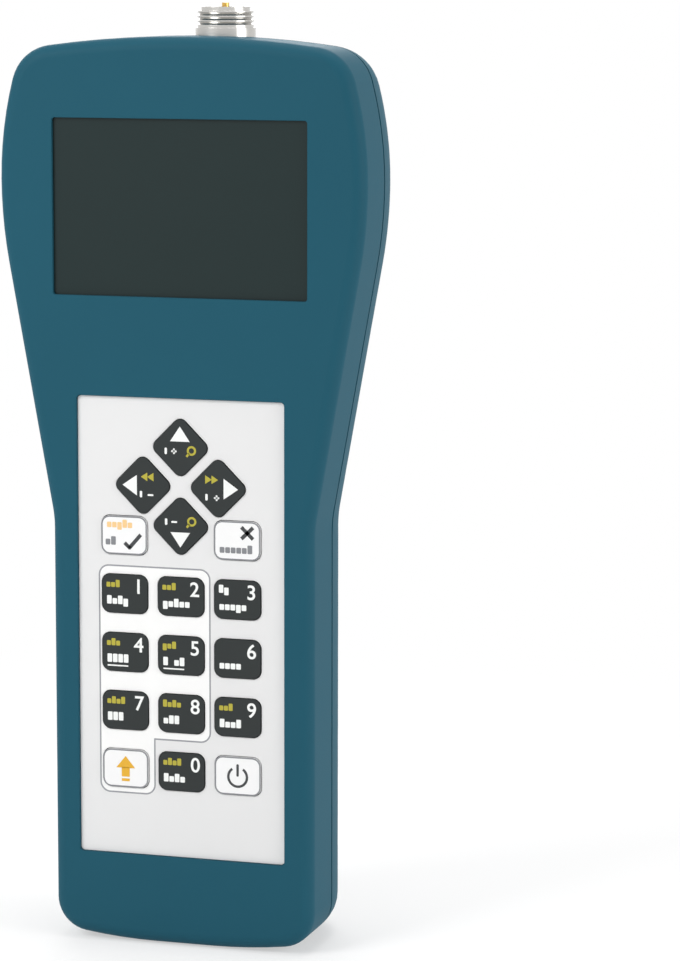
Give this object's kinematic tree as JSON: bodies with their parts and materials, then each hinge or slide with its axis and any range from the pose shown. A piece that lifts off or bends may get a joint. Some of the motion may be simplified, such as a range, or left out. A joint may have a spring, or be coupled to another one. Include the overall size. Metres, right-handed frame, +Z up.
{
  "type": "antenna analyzer",
  "caption": "Handheld antenna analyzer: a wide head with a screen and a threaded coaxial socket on top, a narrower grip with a keypad, and a battery door at the back.",
  "frame": {"origin": "middle of the base, under the middle of the bounding box", "axes": "+Z up the case towards the coaxial socket; +X to the right seen from the front; the keypad and screen face -Y"},
  "size_m": [0.0756, 0.032, 0.1875],
  "materials": {
    "case_shell": "fine matte",
    "seal": "soft",
    "screw_steel": "zinc plated",
    "spring_steel": "nickel plated",
    "cell_sleeve": "printed sleeve",
    "inner_plastic": "satin",
    "display_lens": "clear over a dark screen",
    "display_glass": "glass",
    "panel_film": "satin film",
    "dark_key": "satin",
    "white_key": "satin",
    "circuit_board": "solder mask",
    "chip_plastic": "moulded",
    "socket_metal": "nickel plated",
    "socket_insulator": "waxy",
    "contact_gold": "gold plated",
    "flex_film": "film",
    "cable_jacket": "jacket"
  },
  "bodies": {
    "case": {"back_case": "case_shell", "battery_left": "cell_sleeve", "battery_middle": "cell_sleeve", "battery_plates": "spring_steel", "battery_right": "cell_sleeve", "battery_springs": "spring_steel", "battery_tray": "inner_plastic", "beeper": "chip_plastic", "board_chips": "chip_plastic", "board_screws": "screw_steel", "case_screws": "screw_steel", "case_seal": "seal", "connector_contact": "contact_gold", "connector_insulator": "socket_insulator", "connector_lead": "cable_jacket", "connector_nut": "socket_metal", "connector_shell": "socket_metal", "connector_washer": "socket_metal", "display_backlight": "inner_plastic", "display_flex": "flex_film", "display_frame": "inner_plastic", "display_panel": "display_glass", "display_window": "display_lens", "dome_contacts": "spring_steel", "front_case": "case_shell", "keypad_backing": "inner_plastic", "keypad_board": "circuit_board", "keypad_header": "chip_plastic", "keypad_overlay": "panel_film", "main_board": "circuit_board", "rf_shield": "spring_steel", "usb_board": "circuit_board", "usb_ribbon": "flex_film", "usb_socket": "socket_metal", "wireless_module": "circuit_board"},
    "door": {"battery_door": "case_shell"},
    "button_0": {"key_0": "dark_key"},
    "button_1": {"key_1": "dark_key"},
    "button_2": {"key_2": "dark_key"},
    "button_3": {"key_3": "dark_key"},
    "button_4": {"key_4": "dark_key"},
    "button_5": {"key_5": "dark_key"},
    "button_6": {"key_6": "dark_key"},
    "button_7": {"key_7": "dark_key"},
    "button_8": {"key_8": "dark_key"},
    "button_9": {"key_9": "dark_key"},
    "button_cancel": {"key_cancel": "white_key"},
    "button_down": {"key_down": "dark_key"},
    "button_function": {"key_function": "white_key"},
    "button_left": {"key_left": "dark_key"},
    "button_ok": {"key_ok": "white_key"},
    "button_power": {"key_power": "white_key"},
    "button_right": {"key_right": "dark_key"},
    "button_up": {"key_up": "dark_key"}
  },
  "joints": [
    {"name": "door_hinge", "type": "hinge", "parent": "case", "child": "door", "pos_m": [0, 0.016, 0.0132], "axis": [-1, 0, 0], "range_deg": [0, 50]},
    {"name": "key_0_press", "type": "slide", "parent": "case", "child": "button_0", "axis": [0, 1, 0], "range_m": [0, 0.0003], "stiffness_N_per_m": 1500, "springref_m": -0.0003},
    {"name": "key_1_press", "type": "slide", "parent": "case", "child": "button_1", "axis": [0, 1, 0], "range_m": [0, 0.0003], "stiffness_N_per_m": 1500, "springref_m": -0.0003},
    {"name": "key_2_press", "type": "slide", "parent": "case", "child": "button_2", "axis": [0, 1, 0], "range_m": [0, 0.0003], "stiffness_N_per_m": 1500, "springref_m": -0.0003},
    {"name": "key_3_press", "type": "slide", "parent": "case", "child": "button_3", "axis": [0, 1, 0], "range_m": [0, 0.0003], "stiffness_N_per_m": 1500, "springref_m": -0.0003},
    {"name": "key_4_press", "type": "slide", "parent": "case", "child": "button_4", "axis": [0, 1, 0], "range_m": [0, 0.0003], "stiffness_N_per_m": 1500, "springref_m": -0.0003},
    {"name": "key_5_press", "type": "slide", "parent": "case", "child": "button_5", "axis": [0, 1, 0], "range_m": [0, 0.0003], "stiffness_N_per_m": 1500, "springref_m": -0.0003},
    {"name": "key_6_press", "type": "slide", "parent": "case", "child": "button_6", "axis": [0, 1, 0], "range_m": [0, 0.0003], "stiffness_N_per_m": 1500, "springref_m": -0.0003},
    {"name": "key_7_press", "type": "slide", "parent": "case", "child": "button_7", "axis": [0, 1, 0], "range_m": [0, 0.0003], "stiffness_N_per_m": 1500, "springref_m": -0.0003},
    {"name": "key_8_press", "type": "slide", "parent": "case", "child": "button_8", "axis": [0, 1, 0], "range_m": [0, 0.0003], "stiffness_N_per_m": 1500, "springref_m": -0.0003},
    {"name": "key_9_press", "type": "slide", "parent": "case", "child": "button_9", "axis": [0, 1, 0], "range_m": [0, 0.0003], "stiffness_N_per_m": 1500, "springref_m": -0.0003},
    {"name": "key_cancel_press", "type": "slide", "parent": "case", "child": "button_cancel", "axis": [0, 1, 0], "range_m": [0, 0.0003], "stiffness_N_per_m": 1500, "springref_m": -0.0003},
    {"name": "key_down_press", "type": "slide", "parent": "case", "child": "button_down", "axis": [0, 1, 0], "range_m": [0, 0.0003], "stiffness_N_per_m": 1500, "springref_m": -0.0003},
    {"name": "key_function_press", "type": "slide", "parent": "case", "child": "button_function", "axis": [0, 1, 0], "range_m": [0, 0.0003], "stiffness_N_per_m": 1500, "springref_m": -0.0003},
    {"name": "key_left_press", "type": "slide", "parent": "case", "child": "button_left", "axis": [0, 1, 0], "range_m": [0, 0.0003], "stiffness_N_per_m": 1500, "springref_m": -0.0003},
    {"name": "key_ok_press", "type": "slide", "parent": "case", "child": "button_ok", "axis": [0, 1, 0], "range_m": [0, 0.0003], "stiffness_N_per_m": 1500, "springref_m": -0.0003},
    {"name": "key_power_press", "type": "slide", "parent": "case", "child": "button_power", "axis": [0, 1, 0], "range_m": [0, 0.0003], "stiffness_N_per_m": 1500, "springref_m": -0.0003},
    {"name": "key_right_press", "type": "slide", "parent": "case", "child": "button_right", "axis": [0, 1, 0], "range_m": [0, 0.0003], "stiffness_N_per_m": 1500, "springref_m": -0.0003},
    {"name": "key_up_press", "type": "slide", "parent": "case", "child": "button_up", "axis": [0, 1, 0], "range_m": [0, 0.0003], "stiffness_N_per_m": 1500, "springref_m": -0.0003}
  ]
}
